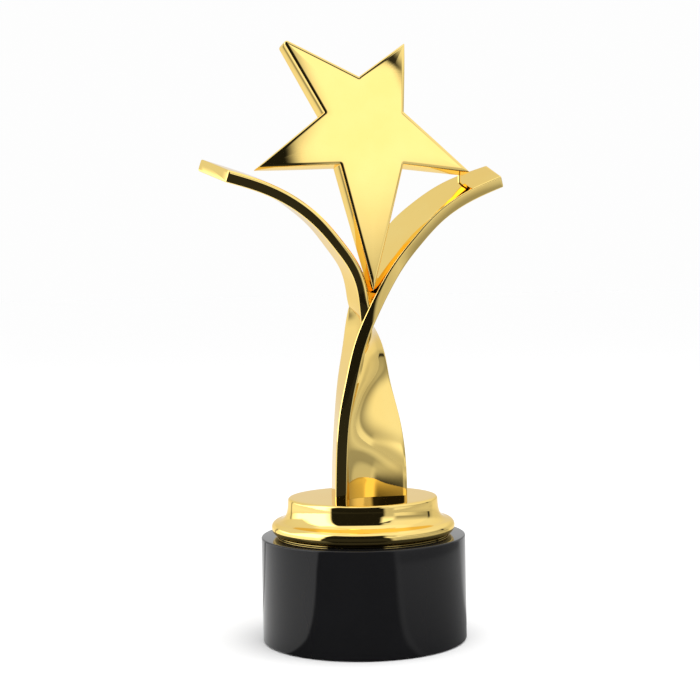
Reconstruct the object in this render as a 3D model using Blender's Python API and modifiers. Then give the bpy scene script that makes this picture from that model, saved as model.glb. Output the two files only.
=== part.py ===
"""Star trophy: a leaning star held by two crossing ribbons, on a stepped collar and a round black base.

Metres, +Z up.  The origin is the centre of the underside, the front faces -Y, and the viewer's right is +X.
The metal figure (star and ribbons) is screwed to the collar, and one tie rod clamps the collar to the base.
"""
import math

import bmesh
import bpy
from mathutils import Matrix, Vector

MM = 0.001
GAP = 0.3 * MM                      # air between pieces that touch
OVERRUN = 2.0 * MM                  # how far a cutter runs past what it cuts
REACH = 80.0 * MM                   # half width of the cutters that span the trophy
FINE_SIDES = 64                     # of large round pieces
ROUND_SIDES = 32                    # of rods, washers and rings
SMALL_SIDES = 20                    # of screws, pins and their holes

# ---- driving dimensions ----------------------------------------------------------------------------------
FELT_RADIUS = 43.0 * MM
FELT_THICKNESS = 1.2 * MM
BASE_BOTTOM = 0.3 * MM              # the felt stands this much proud of its recess

BASE_RADIUS = 45.0 * MM
BASE_TOP = 46.1 * MM
BASE_EDGE = 0.6 * MM                # bevel on the base's rims
COUNTERBORE_RADIUS = 13.0 * MM
COUNTERBORE_TOP = 15.0 * MM

ROD_RADIUS = 3.0 * MM
ROD_HOLE_RADIUS = 3.6 * MM
ROD_BOTTOM = 4.5 * MM
ROD_TOP = 57.5 * MM
ROD_CHAMFER = 0.4 * MM

COLLAR_TOP = 63.0 * MM
COLLAR_TOP_RADIUS = 33.0 * MM
COLLAR_LIP_RADIUS = 40.4 * MM
COLLAR_FOOT_RADIUS = 39.2 * MM
COLLAR_FOOT_TOP = 47.6 * MM
COLLAR_WALL = 2.4 * MM
COLLAR_RIM = 1.0 * MM               # rounding of the top rim
COLLAR_FLARE = ((33.4, 60.4), (34.0, 58.0), (34.8, 55.8), (36.0, 54.2), (37.6, 53.4))   # radius, z in mm
COLLAR_LIP_ROUNDING = 2.6 * MM
COLLAR_LIP_HEIGHT = 50.2 * MM
COLLAR_INSIDE = ((34.2, 51.6), (31.4, 54.6))   # radius, z in mm
COLLAR_INSIDE_TOP_RADIUS = 30.6 * MM
BOSS_RADIUS = 5.5 * MM
BOSS_BOTTOM = 50.0 * MM
GASKET_INNER_RADIUS = 34.5 * MM
GASKET_OUTER_RADIUS = 37.6 * MM
GASKET_THICKNESS = 0.6 * MM

PLATE_THICKNESS = 5.2 * MM          # of both ribbons
PLATE_EDGE = 0.5 * MM               # bevel along the ribbons' edges
STEPS_PER_SPAN = 4                  # loft sections between two stations
PLATE_OVERSHOOT = 0.1               # share of the depth by which ribbon cutters pass each edge
FEET_CUT_BOTTOM = 40.0 * MM         # underside of the block that trims the ribbons' feet

STAR_THICKNESS = 12.0 * MM
STAR_EDGE = 1.0 * MM                # bevel around the star's faces
STAR_LEAN = math.radians(6.0)       # leans back
STAR_ORIGIN = Vector((0.0, -5.0 * MM, 235.0 * MM))   # on the front face

SCREW_RADIUS = 1.25 * MM
SCREW_HEAD_RADIUS = 2.3 * MM
SCREW_HEAD_HEIGHT = 1.7 * MM
SCREW_GRIP = 7.5 * MM               # length inside a ribbon's foot
SOCKET_RADIUS = 1.1 * MM
SOCKET_DEPTH = 1.0 * MM
HEX_SIDES = 6
FOOT_WASHER_RADIUS = 2.7 * MM
FOOT_WASHER_THICKNESS = 0.5 * MM
FOOT_SCREWS = ((-12.2, -6.0), (-9.6, 6.0), (9.0, -3.0), (15.5, -3.0))   # x, y in mm

WASHER_RADIUS = 12.0 * MM
WASHER_THICKNESS = 1.5 * MM
SPRING_WASHER_RADIUS = 5.6 * MM
SPRING_WASHER_THICKNESS = 1.4 * MM
SPRING_WASHER_SPLIT = 0.8 * MM
NUT_ACROSS_FLATS = 10.0 * MM
NUT_HEIGHT = 5.0 * MM
NUT_CHAMFER = 0.3 * MM

CROSSING_PIN = (2.0, 141.5)         # x, z in mm of the pin through the half-lap
CROSSING_PIN_RADIUS = 0.8 * MM
CROSSING_PIN_REACH = 5.0 * MM       # each way from the lap
ARM_PIN = (48.6, 2.0, 197.6, 206.6)  # x, y, bottom z, top z in mm
ARM_PIN_RADIUS = 0.6 * MM

# Ribbon stations, in mm: the front edge's centre, then the way from there to the back edge.
RIGHT_STATIONS = (
    ((-13.3, -11.0, 55.0), (4.7, 22.0, 0.0)),
    ((-12.5, -11.0, 80.0), (4.7, 22.0, 0.0)),
    ((-10.6, -11.0, 100.0), (4.3, 22.0, 0.0)),
    ((-7.3, -11.0, 115.0), (2.7, 22.0, 0.0)),
    ((-2.9, -11.0, 131.0), (1.0, 22.0, 0.0)),
    ((3.6, -11.0, 145.0), (-2.3, 22.0, 1.2)),
    ((15.7, -11.0, 165.0), (-4.4, 22.0, 3.5)),
    ((24.3, -11.0, 175.0), (-5.9, 22.0, 5.4)),
    ((34.6, -11.0, 185.3), (-4.3, 22.0, 5.5)),
    ((50.0, -11.0, 194.9), (-2.8, 22.0, 5.9)),
    ((64.1, -11.0, 200.8), (2.0, 22.0, 6.6)),
)
LEFT_STATIONS = (
    ((-9.6, -3.0, 55.0), (28.4, 0.0, 0.0)),
    ((-9.2, -5.0, 75.0), (27.8, 1.4, 0.0)),
    ((-7.2, -6.7, 96.0), (24.2, 7.8, 0.0)),
    ((-3.2, -7.8, 113.5), (17.5, 16.4, 0.0)),
    ((-0.4, -9.0, 127.5), (12.1, 19.3, 0.0)),
    ((0.1, -10.0, 138.0), (8.0, 21.0, 0.0)),
    ((-0.3, -11.0, 145.0), (3.4, 22.0, 0.0)),
    ((-1.2, -11.0, 153.5), (1.2, 22.0, 0.2)),
    ((-4.6, -11.0, 162.9), (2.0, 22.0, 1.1)),
    ((-11.5, -11.0, 172.6), (2.0, 22.0, 1.7)),
    ((-19.5, -11.0, 181.8), (2.1, 22.0, 2.3)),
    ((-29.1, -11.0, 189.8), (1.6, 22.0, 2.9)),
    ((-45.0, -11.0, 197.9), (1.4, 22.0, 3.5)),
    ((-60.4, -11.0, 202.5), (-7.4, 22.0, 6.6)),
)

# Star outline, in mm in the plane of its face: tips and notches in turn, clockwise from the top left tip.
STAR_OUTLINE = (
    (-33.8, 28.6), (0.8, 11.9), (22.9, 27.6), (20.6, -3.4), (50.6, -29.8),
    (19.2, -26.6), (3.2, -82.0), (-9.8, -26.9), (-46.4, -28.4), (-15.9, -4.2),
)
STAR_TIP_ROUNDING = 2.2             # mm cut off the blunt top left tip before it is rounded

# ---- materials: colour, roughness, metallic ---------------------------------------------------------------
FINISHES = {
    "gold_plating": ((0.95, 0.72, 0.22, 1.0), 0.10, 1.0),
    "black_gloss": ((0.010, 0.010, 0.012, 1.0), 0.06, 0.0),
    "zinc_steel": ((0.62, 0.63, 0.64, 1.0), 0.30, 1.0),
    "gold_pin": ((0.90, 0.66, 0.20, 1.0), 0.20, 1.0),
    "black_felt": ((0.030, 0.030, 0.032, 1.0), 0.95, 0.0),
    "grey_foam": ((0.12, 0.12, 0.12, 1.0), 0.85, 0.0),
}


# ---- shared helpers ---------------------------------------------------------------------------------------
def clear_scene():
    for obj in list(bpy.data.objects):
        bpy.data.objects.remove(obj, do_unlink=True)


def new_collection(name):
    collection = bpy.data.collections.new(name)
    bpy.context.scene.collection.children.link(collection)
    return collection


def finish_material(name):
    material = bpy.data.materials.get(name)
    if material:
        return material
    color, roughness, metallic = FINISHES[name]
    material = bpy.data.materials.new(name)
    material.use_nodes = True
    material.diffuse_color = color
    shader = material.node_tree.nodes["Principled BSDF"]
    shader.inputs["Base Color"].default_value = color
    shader.inputs["Roughness"].default_value = roughness
    shader.inputs["Metallic"].default_value = metallic
    return material


def add_part(name, mesh, finish):
    obj = bpy.data.objects.new(name, mesh)
    mesh.name = name
    mesh.materials.append(finish_material(finish))
    PARTS.objects.link(obj)
    return obj


def add_cutter(name, mesh):
    obj = bpy.data.objects.new(name, mesh)
    obj.hide_render = True
    obj.display_type = "WIRE"
    CUTTERS.objects.link(obj)
    return obj


def cut(obj, cutter, operation="DIFFERENCE"):
    modifier = obj.modifiers.new(cutter.name, "BOOLEAN")
    modifier.operation = operation
    modifier.solver = "EXACT"
    modifier.object = cutter


def bevel(obj, width, segments=2, angle=40.0):
    modifier = obj.modifiers.new("edges", "BEVEL")
    modifier.width = width
    modifier.segments = segments
    modifier.limit_method = "ANGLE"
    modifier.angle_limit = math.radians(angle)


def smooth(mesh, angle=35.0):
    mesh.shade_smooth()
    mesh.set_sharp_from_angle(angle=math.radians(angle))


def cylinder_mesh(radius, low, high, sides=ROUND_SIDES, center=(0.0, 0.0)):
    """An upright cylinder from z = low to z = high."""
    mesh = bpy.data.meshes.new("cylinder")
    bm = bmesh.new()
    bmesh.ops.create_cone(bm, cap_ends=True, segments=sides, radius1=radius, radius2=radius, depth=high - low)
    bmesh.ops.translate(bm, vec=(center[0], center[1], (low + high) / 2.0), verts=bm.verts)
    bm.to_mesh(mesh)
    bm.free()
    return mesh


def box_mesh(low, high):
    mesh = bpy.data.meshes.new("box")
    bm = bmesh.new()
    bmesh.ops.create_cube(bm, size=1.0)
    size = Vector(high) - Vector(low)
    bmesh.ops.scale(bm, vec=size, verts=bm.verts)
    bmesh.ops.translate(bm, vec=(Vector(high) + Vector(low)) / 2.0, verts=bm.verts)
    bm.to_mesh(mesh)
    bm.free()
    return mesh


def turned(name, profile, finish, sides=FINE_SIDES, closed=True):
    """A profile of (radius, z) points, outer side first from top to bottom, turned about Z."""
    mesh = bpy.data.meshes.new(name)
    edges = [(i, i + 1) for i in range(len(profile) - 1)]
    if closed:
        edges.append((len(profile) - 1, 0))
    mesh.from_pydata([(radius, 0.0, z) for radius, z in profile], edges, [])
    obj = add_part(name, mesh, finish)
    screw = obj.modifiers.new("turn", "SCREW")
    screw.axis = "Z"
    screw.steps = sides
    screw.render_steps = sides
    screw.use_merge_vertices = True
    screw.merge_threshold = 0.00001
    screw.use_smooth_shade = True
    return obj


def ring(name, inner, outer, low, high, finish, sides=ROUND_SIDES):
    return turned(name, [(outer, high), (outer, low), (inner, low), (inner, high)], finish, sides)


def arc(center, radius, start, end, steps):
    """Points (radius, z) along an arc; angles in degrees, 0 pointing outwards."""
    points = []
    for i in range(steps + 1):
        angle = math.radians(start + (end - start) * i / steps)
        points.append((center[0] + radius * math.cos(angle), center[1] + radius * math.sin(angle)))
    return points


# ---- ribbons ----------------------------------------------------------------------------------------------
def spline(values, t):
    """Catmull-Rom through evenly numbered values; t runs from 0 to len(values) - 1."""
    last = len(values) - 1
    i = min(int(t), last - 1)
    u = t - i
    p1, p2 = values[i], values[i + 1]
    p0 = values[i - 1] if i > 0 else 2.0 * p1 - p2
    p3 = values[i + 2] if i + 2 <= last else 2.0 * p2 - p1
    return 0.5 * (2.0 * p1 + (p2 - p0) * u + (2.0 * p0 - 5.0 * p1 + 4.0 * p2 - p3) * u * u
                  + (3.0 * (p1 - p2) + p3 - p0) * u * u * u)


def ribbon_mesh(stations, thickness, overshoot=0.0):
    """A plate lofted through the stations, longer by the overshoot share of its depth at each edge."""
    front = -overshoot
    back = 1.0 + overshoot
    fronts = [Vector(station[0]) * MM for station in stations]
    depths = [Vector(station[1]) * MM for station in stations]
    count = (len(stations) - 1) * STEPS_PER_SPAN
    step = 1.0 / STEPS_PER_SPAN
    bm = bmesh.new()
    rows = []
    for k in range(count + 1):
        t = k * step
        edge, depth = spline(fronts, t), spline(depths, t)
        ahead, behind = min(t + step, len(stations) - 1.0), max(t - step, 0.0)
        tangent = spline(fronts, ahead) + spline(depths, ahead) / 2.0
        tangent -= spline(fronts, behind) + spline(depths, behind) / 2.0
        side = depth.cross(tangent).normalized() * thickness / 2.0
        corners = (edge + depth * front - side, edge + depth * back - side,
                   edge + depth * back + side, edge + depth * front + side)
        rows.append([bm.verts.new(corner) for corner in corners])
    for lower, upper in zip(rows, rows[1:]):
        for j in range(4):
            bm.faces.new((lower[j], lower[(j + 1) % 4], upper[(j + 1) % 4], upper[j]))
    bm.faces.new(rows[0])
    bm.faces.new(rows[-1])
    bmesh.ops.recalc_face_normals(bm, faces=bm.faces)
    mesh = bpy.data.meshes.new("ribbon")
    bm.to_mesh(mesh)
    bm.free()
    return mesh


def ribbon_clearance(name, stations):
    """A cutter that follows a ribbon with the gap all round."""
    return add_cutter(name, ribbon_mesh(stations, PLATE_THICKNESS + 2.0 * GAP, PLATE_OVERSHOOT))


def make_ribbons():
    """The right ribbon keeps its front half where they cross and the left one its back half."""
    right = add_part("right_ribbon", ribbon_mesh(RIGHT_STATIONS, PLATE_THICKNESS), "gold_plating")
    left = add_part("left_ribbon", ribbon_mesh(LEFT_STATIONS, PLATE_THICKNESS), "gold_plating")
    front_half = box_mesh((-REACH, -REACH, 0.0), (REACH, GAP / 2.0, 4.0 * REACH))
    back_half = box_mesh((-REACH, -GAP / 2.0, 0.0), (REACH, REACH, 4.0 * REACH))
    right_front = ribbon_clearance("right_ribbon_front_half", RIGHT_STATIONS)
    cut(right_front, add_cutter("front_half", front_half), "INTERSECT")
    left_back = ribbon_clearance("left_ribbon_back_half", LEFT_STATIONS)
    cut(left_back, add_cutter("back_half", back_half), "INTERSECT")
    below = box_mesh((-REACH, -REACH, FEET_CUT_BOTTOM), (REACH, REACH, COLLAR_TOP + GAP))
    foot_cutter = add_cutter("below_feet", below)
    for ribbon in (right, left):
        bevel(ribbon, PLATE_EDGE)
        cut(ribbon, foot_cutter)
        smooth(ribbon.data)
    cut(left, right_front)
    cut(right, left_back)
    return left, right


# ---- star -------------------------------------------------------------------------------------------------
def star_outline():
    """The outline with its blunt tip cut by two points."""
    points = [Vector((x, z)) for x, z in STAR_OUTLINE]
    tip, following, previous = points[0], points[1], points[-1]
    first = tip + (previous - tip).normalized() * STAR_TIP_ROUNDING
    second = tip + (following - tip).normalized() * STAR_TIP_ROUNDING
    middle = (first + second + tip) / 3.0
    return [first, middle, second] + points[1:]


def along(edge, axis):
    """Whether an edge runs the same way as an axis."""
    way = (edge.verts[1].co - edge.verts[0].co).normalized()
    return abs(way.dot(axis)) > math.cos(math.radians(60.0))


def make_star():
    right_axis = Vector((1.0, 0.0, 0.0))
    up_axis = Vector((0.0, math.sin(STAR_LEAN), math.cos(STAR_LEAN)))
    back_axis = Vector((0.0, math.cos(STAR_LEAN), -math.sin(STAR_LEAN)))
    outline = star_outline()
    bm = bmesh.new()
    front = []
    for point in outline:
        place = STAR_ORIGIN + right_axis * point.x * MM + up_axis * point.y * MM
        front.append(bm.verts.new(place))
    face = bm.faces.new(front)
    extruded = bmesh.ops.extrude_face_region(bm, geom=[face])
    moved = [item for item in extruded["geom"] if isinstance(item, bmesh.types.BMVert)]
    bmesh.ops.translate(bm, vec=back_axis * STAR_THICKNESS, verts=moved)
    bmesh.ops.recalc_face_normals(bm, faces=bm.faces)
    rims = [edge for edge in bm.edges if not along(edge, back_axis)]
    bmesh.ops.bevel(bm, geom=rims, offset=STAR_EDGE, segments=1, affect="EDGES", profile=0.5)
    mesh = bpy.data.meshes.new("star")
    bm.to_mesh(mesh)
    bm.free()
    star = add_part("star", mesh, "gold_plating")
    cut(star, ribbon_clearance("right_ribbon_clearance", RIGHT_STATIONS))
    cut(star, ribbon_clearance("left_ribbon_clearance", LEFT_STATIONS))
    return star


# ---- collar, base and pad ---------------------------------------------------------------------------------
def make_collar():
    """A turned shell, open below, with a boss for the tie rod under its top."""
    foot_bottom = BASE_TOP + GAP
    rim_center = (COLLAR_TOP_RADIUS - COLLAR_RIM, COLLAR_TOP - COLLAR_RIM)
    outer = arc(rim_center, COLLAR_RIM, 90.0, 10.0, 3)
    outer += [(radius * MM, z * MM) for radius, z in COLLAR_FLARE]
    lip_center = (COLLAR_LIP_RADIUS - COLLAR_LIP_ROUNDING, COLLAR_LIP_HEIGHT)
    outer += arc(lip_center, COLLAR_LIP_ROUNDING, 70.0, -60.0, 6)
    outer += [(COLLAR_FOOT_RADIUS, COLLAR_FOOT_TOP), (COLLAR_FOOT_RADIUS, foot_bottom)]
    recess_radius = GASKET_OUTER_RADIUS + GAP
    recess_top = foot_bottom + GASKET_THICKNESS + GAP
    under_top = COLLAR_TOP - COLLAR_WALL
    inner = [(recess_radius, foot_bottom), (recess_radius, recess_top)]
    inner += [(COLLAR_INSIDE[0][0] * MM, recess_top)]
    inner += [(radius * MM, z * MM) for radius, z in COLLAR_INSIDE]
    inner += [(COLLAR_INSIDE_TOP_RADIUS, under_top)]
    boss = [(BOSS_RADIUS, under_top), (BOSS_RADIUS, BOSS_BOTTOM), (ROD_RADIUS + GAP, BOSS_BOTTOM)]
    boss += [(ROD_RADIUS + GAP, ROD_TOP + GAP), (0.0, ROD_TOP + GAP)]
    profile = [(0.0, COLLAR_TOP)] + outer + inner + boss
    collar = turned("collar", profile, "gold_plating", closed=False)
    for number, (x, y) in enumerate(FOOT_SCREWS, 1):
        low, high = under_top - OVERRUN, COLLAR_TOP + OVERRUN
        hole = cylinder_mesh(SCREW_RADIUS + GAP, low, high, SMALL_SIDES, (x * MM, y * MM))
        cut(collar, add_cutter(f"collar_hole_{number}", hole))
    return collar


def make_base():
    recess_radius = FELT_RADIUS + GAP
    recess_top = FELT_THICKNESS + GAP
    profile = [(BASE_RADIUS - BASE_EDGE, BASE_TOP), (BASE_RADIUS, BASE_TOP - BASE_EDGE),
               (BASE_RADIUS, BASE_BOTTOM + BASE_EDGE), (BASE_RADIUS - BASE_EDGE, BASE_BOTTOM),
               (recess_radius, BASE_BOTTOM), (recess_radius, recess_top),
               (COUNTERBORE_RADIUS, recess_top), (COUNTERBORE_RADIUS, COUNTERBORE_TOP),
               (ROD_HOLE_RADIUS, COUNTERBORE_TOP), (ROD_HOLE_RADIUS, BASE_TOP)]
    turned("black_base", profile, "black_gloss")
    felt = add_part("felt_pad", cylinder_mesh(FELT_RADIUS, 0.0, FELT_THICKNESS, FINE_SIDES), "black_felt")
    smooth(felt.data)
    gasket_low = BASE_TOP + GAP
    ring("base_gasket", GASKET_INNER_RADIUS, GASKET_OUTER_RADIUS, gasket_low, gasket_low + GASKET_THICKNESS,
         "grey_foam", FINE_SIDES)


# ---- fasteners --------------------------------------------------------------------------------------------
def make_tie_rod():
    """The rod hangs from the collar's boss; its nut pulls on the counterbore's roof."""
    rod = add_part("tie_rod", cylinder_mesh(ROD_RADIUS, ROD_BOTTOM, ROD_TOP), "zinc_steel")
    smooth(rod.data)
    bevel(rod, ROD_CHAMFER, 1)
    hole = ROD_RADIUS + GAP
    top = COUNTERBORE_TOP - GAP
    ring("large_washer", hole, WASHER_RADIUS, top - WASHER_THICKNESS, top, "zinc_steel")
    top -= WASHER_THICKNESS + GAP
    bottom = top - SPRING_WASHER_THICKNESS
    washer = ring("spring_washer", hole, SPRING_WASHER_RADIUS, bottom, top, "zinc_steel")
    split_low = (0.0, -SPRING_WASHER_SPLIT / 2.0, bottom - OVERRUN)
    split_high = (SPRING_WASHER_RADIUS + OVERRUN, SPRING_WASHER_SPLIT / 2.0, top + OVERRUN)
    cut(washer, add_cutter("spring_washer_split", box_mesh(split_low, split_high)))
    top = bottom - GAP
    nut_mesh = cylinder_mesh(NUT_ACROSS_FLATS / math.sqrt(3.0), top - NUT_HEIGHT, top, HEX_SIDES)
    nut = add_part("hex_nut", nut_mesh, "zinc_steel")
    bevel(nut, NUT_CHAMFER, 1)
    cut(nut, add_cutter("nut_hole", cylinder_mesh(hole, top - NUT_HEIGHT - OVERRUN, top + OVERRUN)))


def make_foot_screws(ribbons):
    """Four screws from under the collar's top, two into each ribbon's foot."""
    washer_top = COLLAR_TOP - COLLAR_WALL - GAP
    head_top = washer_top - FOOT_WASHER_THICKNESS - GAP
    tip = COLLAR_TOP + GAP + SCREW_GRIP
    for number, (x_mm, y_mm) in enumerate(FOOT_SCREWS, 1):
        center = (x_mm * MM, y_mm * MM)
        profile = [(0.0, tip), (SCREW_RADIUS, tip), (SCREW_RADIUS, head_top), (SCREW_HEAD_RADIUS, head_top),
                   (SCREW_HEAD_RADIUS, head_top - SCREW_HEAD_HEIGHT), (0.0, head_top - SCREW_HEAD_HEIGHT)]
        screw = turned(f"foot_screw_{number}", profile, "zinc_steel", SMALL_SIDES, closed=False)
        screw.location = (center[0], center[1], 0.0)
        socket_low = head_top - SCREW_HEAD_HEIGHT
        socket_high = socket_low + SOCKET_DEPTH
        socket_mesh = cylinder_mesh(SOCKET_RADIUS, socket_low - OVERRUN, socket_high, HEX_SIDES, center)
        cut(screw, add_cutter(f"screw_socket_{number}", socket_mesh))
        washer = ring(f"foot_washer_{number}", SCREW_RADIUS + GAP, FOOT_WASHER_RADIUS,
                      washer_top - FOOT_WASHER_THICKNESS, washer_top, "zinc_steel", SMALL_SIDES)
        washer.location = (center[0], center[1], 0.0)
        hole_mesh = cylinder_mesh(SCREW_RADIUS + GAP, COLLAR_TOP - OVERRUN, tip + GAP, SMALL_SIDES, center)
        hole = add_cutter(f"foot_hole_{number}", hole_mesh)
        cut(ribbons[0 if x_mm > 0 else 1], hole)


def make_pins(left, right, star):
    """A pin through the ribbons' half-lap, and one that locates the star's arm on the right ribbon."""
    x, z = CROSSING_PIN[0] * MM, CROSSING_PIN[1] * MM
    roll = Matrix.Translation((x, 0.0, z)) @ Matrix.Rotation(math.radians(90.0), 4, "X")
    pin_mesh = cylinder_mesh(CROSSING_PIN_RADIUS, -CROSSING_PIN_REACH, CROSSING_PIN_REACH, SMALL_SIDES)
    hole_reach = CROSSING_PIN_REACH + GAP
    hole_mesh = cylinder_mesh(CROSSING_PIN_RADIUS + GAP, -hole_reach, hole_reach, SMALL_SIDES)
    for mesh in (pin_mesh, hole_mesh):
        mesh.transform(roll)
    smooth(pin_mesh)
    add_part("crossing_pin", pin_mesh, "gold_pin")
    pin_hole = add_cutter("crossing_pin_hole", hole_mesh)
    cut(left, pin_hole)
    cut(right, pin_hole)
    pin_x, pin_y, low, high = (value * MM for value in ARM_PIN)
    arm_mesh = cylinder_mesh(ARM_PIN_RADIUS, low, high, SMALL_SIDES, (pin_x, pin_y))
    arm_pin = add_part("star_arm_pin", arm_mesh, "gold_pin")
    smooth(arm_pin.data)
    arm_hole = cylinder_mesh(ARM_PIN_RADIUS + GAP, low - GAP, high + GAP, SMALL_SIDES, (pin_x, pin_y))
    cutter = add_cutter("arm_pin_hole", arm_hole)
    cut(star, cutter)
    cut(right, cutter)


clear_scene()
PARTS = new_collection("star_trophy")
CUTTERS = new_collection("cutters")
make_base()
make_collar()
left_ribbon, right_ribbon = make_ribbons()
star_part = make_star()
make_tie_rod()
make_foot_screws((left_ribbon, right_ribbon))
make_pins(left_ribbon, right_ribbon, star_part)
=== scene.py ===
import math

import bmesh
import bpy
import numpy as np
from mathutils import Matrix, Vector


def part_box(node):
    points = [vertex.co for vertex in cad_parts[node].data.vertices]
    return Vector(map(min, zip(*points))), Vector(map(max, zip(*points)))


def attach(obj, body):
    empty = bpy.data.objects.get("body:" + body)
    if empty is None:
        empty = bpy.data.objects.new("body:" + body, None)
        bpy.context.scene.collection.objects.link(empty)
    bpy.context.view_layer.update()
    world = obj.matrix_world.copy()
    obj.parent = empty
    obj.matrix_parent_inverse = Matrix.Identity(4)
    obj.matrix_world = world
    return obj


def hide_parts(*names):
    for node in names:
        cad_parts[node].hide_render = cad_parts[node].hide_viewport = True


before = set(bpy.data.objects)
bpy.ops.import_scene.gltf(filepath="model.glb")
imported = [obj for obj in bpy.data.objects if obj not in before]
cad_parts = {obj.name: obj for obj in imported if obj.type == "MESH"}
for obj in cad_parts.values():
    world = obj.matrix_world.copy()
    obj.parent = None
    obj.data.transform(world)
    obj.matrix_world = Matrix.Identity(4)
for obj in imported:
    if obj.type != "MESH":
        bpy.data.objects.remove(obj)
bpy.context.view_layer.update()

# Looks of the star trophy: mirror-gold star, ribbons and collar, a gloss black base and a pale studio.

MM = 0.001
scene = bpy.context.scene

# ---- sizes: in metres where they are times MM, and otherwise in mm -----------------------------------------
COLLAR_LOW, COLLAR_HIGH = (Vector(corner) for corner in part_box("collar"))
BASE_LOW, BASE_HIGH = (Vector(corner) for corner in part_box("black_base"))
FOOT_LEVEL = COLLAR_HIGH.z + 0.02 * MM

REACH = 80.0 * MM                   # half width of the boxes that cut the ribbons
PLATE_THICKNESS = 5.2 * MM
PLATE_CORNER = 0.65 * MM            # rounding along the ribbons' edges
PLATE_CROWN = 0.12 * MM             # how far the narrow faces bulge
LAP_GAP = 0.04 * MM
RIGHT_ROWS = 150                    # sections along each ribbon
LEFT_ROWS = 170
TIP_STEPS = 5                       # sections that round off a ribbon's upper end
LAP_LOW, LAP_HIGH, LAP_LEFT = 138.0 * MM, 152.0 * MM, 2.0 * MM   # where the left ribbon passes behind
TIP_ROUNDING = 0.8                  # of a ribbon's upper end, as a share of its corners
TOOL_OVERRUN = 2.0 * MM             # how far a cutting ribbon passes each edge
LEFT_UPPER_CORNER = (               # height in mm, then the left ribbon's upper front corner
    (0.0, 0.65 * MM), (138.0, 0.65 * MM), (152.0, 1.9 * MM), (172.0, 1.7 * MM), (190.0, 1.3 * MM),
)
RIGHT_FACE_TURN = (                 # height in mm, then the slope of the right ribbon's front face
    (0.0, 0.0), (108.0, 0.0), (124.0, -0.10), (140.0, -0.17), (152.0, -0.15), (170.0, 0.0),
)

STAR_THICKNESS = 12.0 * MM
STAR_LEAN = math.radians(6.0)
STAR_ORIGIN = Vector((0.0, -5.0 * MM, 235.0 * MM))

# Ribbon stations, in mm: the front edge's centre, then the way from there to the back edge.
RIGHT_STATIONS = (
    ((-13.3, -11.0, 55.0), (4.7, 22.0, 0.0)),
    ((-12.5, -11.0, 80.0), (4.7, 22.0, 0.0)),
    ((-10.6, -11.0, 100.0), (4.3, 22.0, 0.0)),
    ((-7.3, -11.0, 115.0), (2.7, 22.0, 0.0)),
    ((-2.9, -11.0, 131.0), (1.0, 22.0, 0.0)),
    ((3.6, -11.0, 145.0), (-2.8, 22.0, 1.2)),
    ((15.7, -11.0, 165.0), (-4.4, 22.0, 3.5)),
    ((24.3, -11.0, 175.0), (-5.9, 22.0, 5.4)),
    ((34.6, -11.0, 185.3), (-4.3, 22.0, 5.5)),
    ((50.0, -11.0, 194.9), (-2.8, 22.0, 5.9)),
    ((64.1, -11.0, 200.8), (2.0, 22.0, 6.6)),
)
LEFT_STATIONS = (
    ((-9.6, -3.0, 55.0), (28.4, 0.0, 0.0)),
    ((-9.2, -5.0, 75.0), (27.8, 1.4, 0.0)),
    ((-7.2, -6.7, 96.0), (24.2, 7.8, 0.0)),
    ((-3.2, -7.8, 113.5), (17.5, 16.4, 0.0)),
    ((-0.4, -9.0, 127.5), (12.1, 19.3, 0.0)),
    ((0.1, -9.4, 138.0), (6.8, 20.9, 0.0)),
    ((-0.3, -9.9, 145.0), (2.2, 20.9, 0.0)),
    ((-1.2, -9.8, 153.5), (1.0, 20.8, 0.2)),
    ((-4.6, -10.3, 162.9), (1.8, 21.3, 1.1)),
    ((-11.5, -11.0, 172.6), (2.0, 22.0, 1.7)),
    ((-19.5, -11.0, 181.8), (2.1, 22.0, 2.3)),
    ((-29.1, -11.0, 189.8), (1.6, 22.0, 2.9)),
    ((-45.0, -11.0, 197.9), (1.4, 22.0, 3.5)),
    ((-60.4, -11.0, 202.5), (-7.4, 22.0, 6.6)),
)

# Star outline, in mm in the plane of its face: tips and notches in turn, clockwise from the top left tip.
STAR_OUTLINE = (
    (-33.8, 28.6), (0.8, 11.9), (22.9, 27.6), (20.6, -3.4), (50.6, -29.8),
    (19.2, -26.6), (3.2, -82.0), (-9.8, -26.9), (-46.4, -28.4), (-15.9, -4.2),
)

STAR_CENTER = (3.0, -8.0)
STAR_SHARP, STAR_BLUNT = 0.15, 1.3  # corner radii, in mm; the top left tip is the blunt one
STAR_PILLOW = 2600.0                # the face falls back by the distance from its centre, squared, over this
STAR_DROP_LIMIT = 2.4               # the most that the face falls back, in mm
# The tips that curl back: place, reach and depth.
STAR_DROOPS = (((22.9, 27.6), 13.0, 0.7), ((-46.4, -28.4), 20.0, 1.1))
# The rounded edge, as inset and depth, then the insets of the rings over the face.
STAR_EDGE = ((0.0, 1.0), (0.04, 0.72), (0.15, 0.44), (0.32, 0.28), (0.52, 0.19), (0.75, 0.135))
STAR_RINGS = (1.25, 1.6, 2.1, 2.8, 3.6, 4.6, 5.8, 7.0)
STAR_RIM_DEPTH, STAR_RISE, STAR_RISE_REACH = 0.12, 0.11, 7.5
STAR_MIDDLE = (0.06, 0.2, 0.4, 0.6, 0.8)   # shares of the way from the middle to the last ring

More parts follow.
